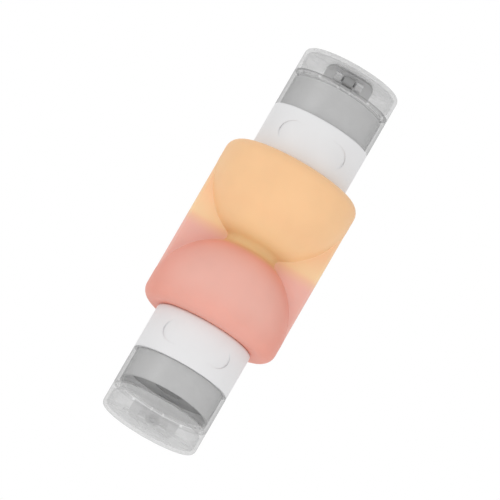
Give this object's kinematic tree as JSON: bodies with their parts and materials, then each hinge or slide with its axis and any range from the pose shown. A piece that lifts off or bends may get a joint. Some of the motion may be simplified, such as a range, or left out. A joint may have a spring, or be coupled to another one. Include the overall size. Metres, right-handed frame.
{
  "type": "travel bottle",
  "caption": "Double ended travel bottle: soft silicone bowls back to back on a waist, each with a white collar, a screw cap and a clear flip lid.",
  "frame": {"origin": "centre of the lower lid's flat end face, where the bottle stands", "axes": "+Z along the bottle from the pink end to the orange end, +X along the flat web and the hinge pins, -Y towards the upper cap's hinge"},
  "size_m": [0.053, 0.053, 0.15],
  "materials": {
    "orange_silicone": "satin moulded silicone",
    "pink_silicone": "satin moulded silicone",
    "white_polypropylene": "satin moulded polypropylene",
    "grey_polypropylene": "satin moulded polypropylene",
    "clear_plastic": "clear moulded polypropylene",
    "seal_silicone": "plain moulded silicone",
    "dark_polypropylene": "satin moulded polypropylene"
  },
  "bodies": {
    "bottle": {"upper_chamber": "orange_silicone", "upper_collar": "white_polypropylene", "upper_threaded_neck": "white_polypropylene", "lower_chamber": "pink_silicone", "lower_collar": "white_polypropylene", "lower_threaded_neck": "white_polypropylene"},
    "upper_seal": {"upper_gasket": "seal_silicone"},
    "upper_cap": {"upper_screw_cap": "grey_polypropylene", "upper_valve": "seal_silicone", "upper_valve_retainer": "dark_polypropylene", "upper_cap_shell": "clear_plastic", "upper_hinge_pin": "clear_plastic", "upper_hinge_bush": "dark_polypropylene"},
    "upper_lid": {"upper_flip_lid": "clear_plastic"},
    "lower_seal": {"lower_gasket": "seal_silicone"},
    "lower_cap": {"lower_screw_cap": "grey_polypropylene", "lower_valve": "seal_silicone", "lower_valve_retainer": "dark_polypropylene", "lower_cap_shell": "clear_plastic", "lower_hinge_pin": "clear_plastic", "lower_hinge_bush": "dark_polypropylene"},
    "lower_lid": {"lower_flip_lid": "clear_plastic"}
  },
  "joints": [
    {"name": "upper_cap_rise", "type": "slide", "parent": "bottle", "child": "upper_seal", "axis": [0, 0, 1], "range_m": [0, 0.00485]},
    {"name": "upper_cap_turn", "type": "hinge", "parent": "upper_seal", "child": "upper_cap", "pos_m": [0, 0, 0.132], "axis": [0, 0, 1], "range_deg": [0, 540]},
    {"name": "upper_lid_hinge", "type": "hinge", "parent": "upper_cap", "child": "upper_lid", "pos_m": [0, -0.0168, 0.14305], "axis": [1, 0, 0], "range_deg": [0, 115]},
    {"name": "lower_cap_rise", "type": "slide", "parent": "bottle", "child": "lower_seal", "axis": [0, 0, -1], "range_m": [0, 0.00485]},
    {"name": "lower_cap_turn", "type": "hinge", "parent": "lower_seal", "child": "lower_cap", "pos_m": [0, 0, 0.018], "axis": [0, 0, -1], "range_deg": [0, 540]},
    {"name": "lower_lid_hinge", "type": "hinge", "parent": "lower_cap", "child": "lower_lid", "pos_m": [0, 0.0168, 0.00695], "axis": [1, 0, 0], "range_deg": [0, 115]}
  ],
  "couplings": [
    {"joint": "upper_cap_rise", "follows": "upper_cap_turn", "m_per_rad": 0.0005093},
    {"joint": "lower_cap_rise", "follows": "lower_cap_turn", "m_per_rad": 0.0005093}
  ]
}
